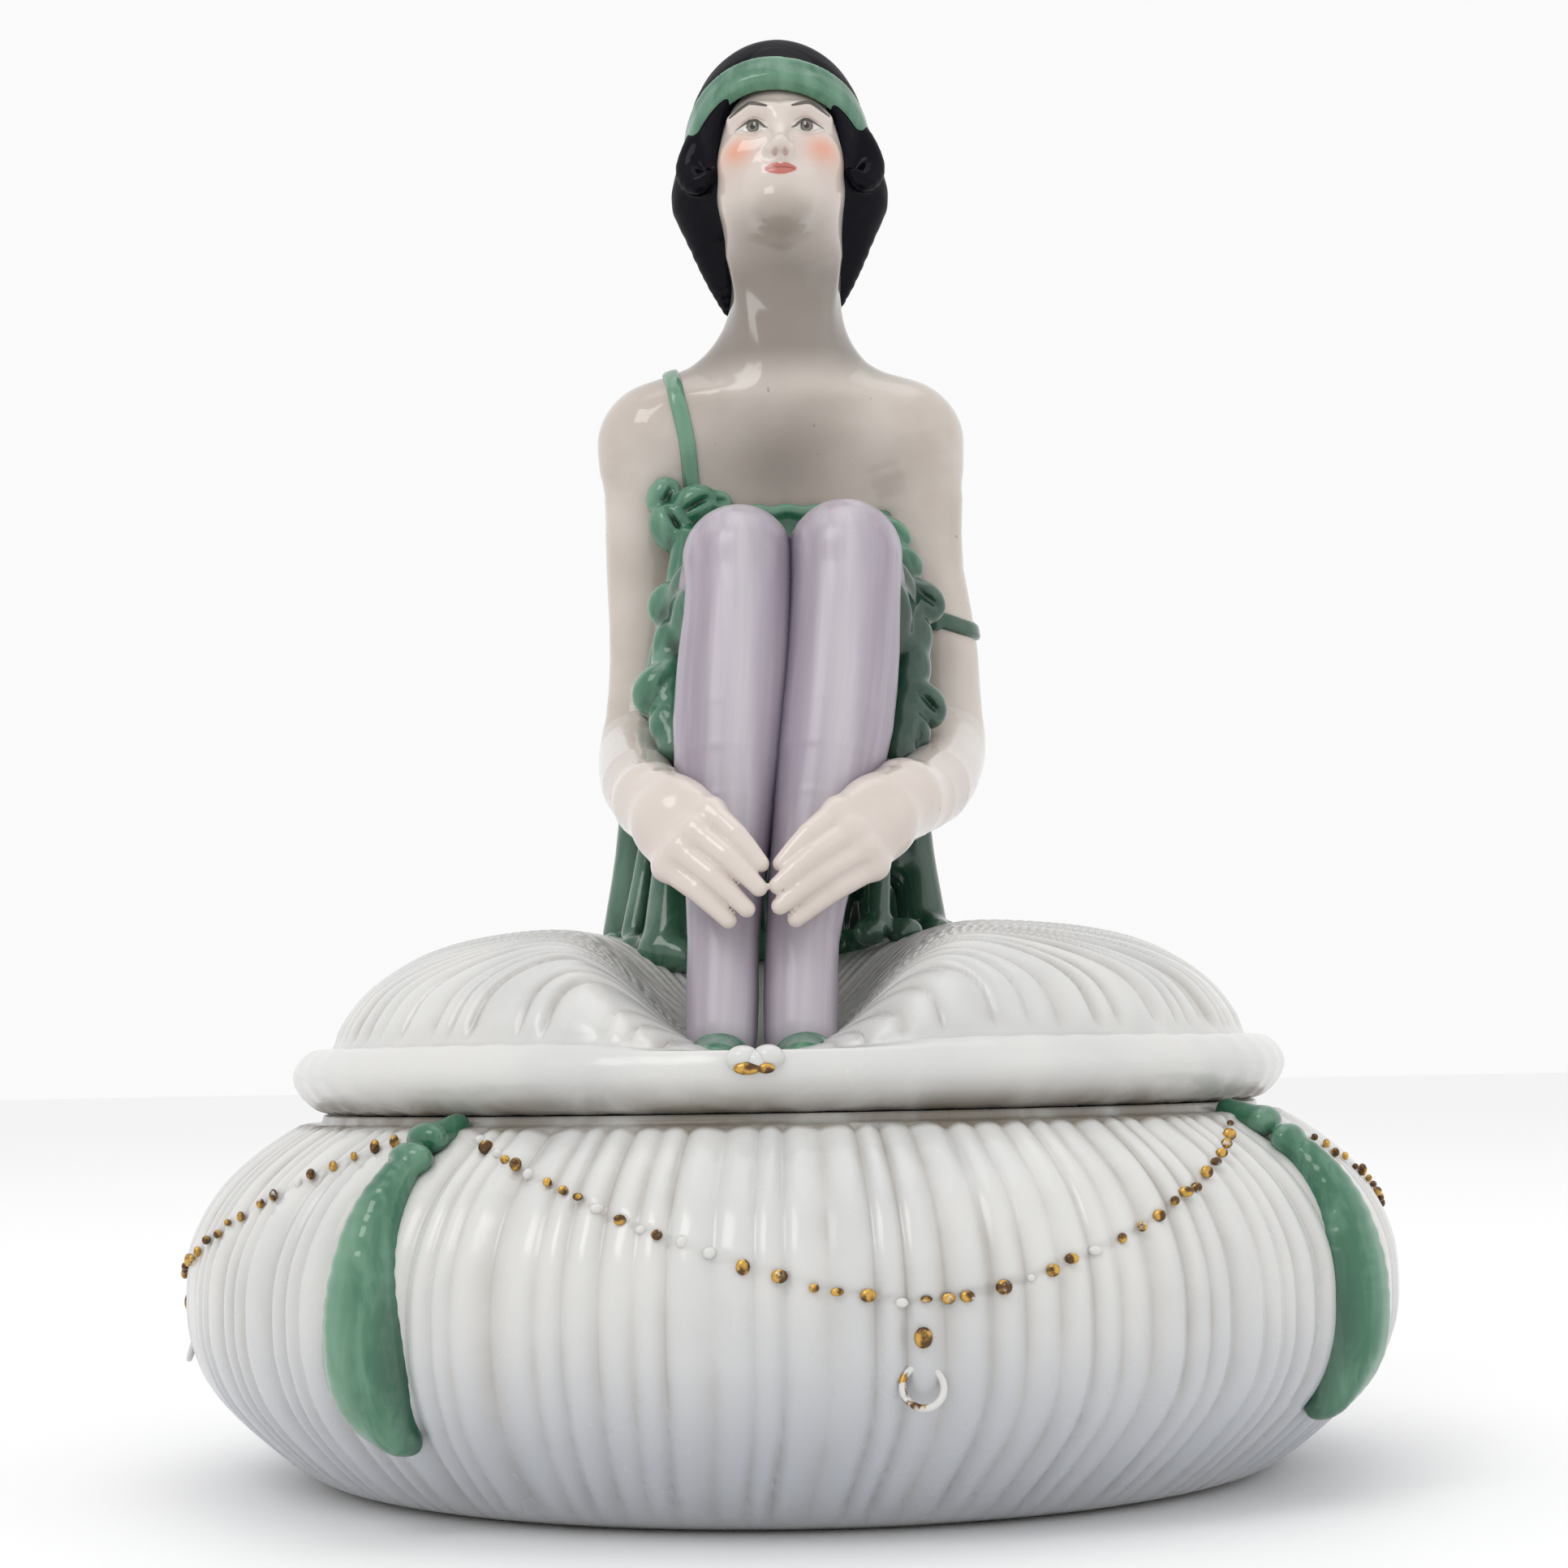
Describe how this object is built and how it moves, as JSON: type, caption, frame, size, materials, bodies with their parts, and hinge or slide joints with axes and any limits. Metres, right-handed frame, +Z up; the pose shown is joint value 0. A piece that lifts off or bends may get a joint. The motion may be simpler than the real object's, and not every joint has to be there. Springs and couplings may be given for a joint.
{
  "type": "powder jar",
  "caption": "Round fluted cushion-shaped porcelain powder jar with tassels and gilt swags; the lift-off cushion lid carries a seated lady.",
  "frame": {"origin": "centre of the bowl's foot, on the surface the jar stands on", "axes": "+Z up, the lady faces -Y, her left hand is towards +X"},
  "size_m": [0.1334, 0.1334, 0.1615],
  "materials": {
    "white_glaze": "glossy pale grey-white glaze",
    "skin_glaze": "glossy warm off-white glaze with painted features",
    "green_glaze": "glossy brushed sea-green paint under glaze",
    "lilac_glaze": "glossy streaky lavender paint under glaze",
    "black_glaze": "glossy black paint under glaze",
    "gilt": "worn gilding on raised porcelain dots"
  },
  "bodies": {
    "bowl": {"bead_swag_back": "gilt", "bead_swag_front": "gilt", "bead_swag_left": "gilt", "bead_swag_right": "gilt", "bowl": "white_glaze", "pendant_back": "gilt", "pendant_front": "gilt", "pendant_left": "gilt", "pendant_right": "gilt", "tassel_back_left": "green_glaze", "tassel_back_right": "green_glaze", "tassel_front_left": "green_glaze", "tassel_front_right": "green_glaze"},
    "lid": {"bodice": "green_glaze", "ear_curl_left": "black_glaze", "ear_curl_right": "black_glaze", "fallen_strap": "green_glaze", "forearm_left": "skin_glaze", "forearm_right": "skin_glaze", "frill_left": "green_glaze", "frill_right": "green_glaze", "hair": "black_glaze", "hand_left": "skin_glaze", "hand_right": "skin_glaze", "head": "skin_glaze", "headband": "green_glaze", "lap_left": "green_glaze", "lap_right": "green_glaze", "leg_left": "lilac_glaze", "leg_right": "lilac_glaze", "lid": "white_glaze", "neck": "skin_glaze", "piping_knot": "white_glaze", "rosette": "green_glaze", "shoulder_strap": "green_glaze", "skirt": "green_glaze", "slipper_left": "green_glaze", "slipper_right": "green_glaze", "torso": "skin_glaze", "upper_arm_left": "skin_glaze", "upper_arm_right": "skin_glaze"}
  },
  "joints": [
    {"name": "lid_lift", "type": "slide", "parent": "bowl", "child": "lid", "axis": [0, 0, 1], "range_m": [0, 0.08]}
  ]
}
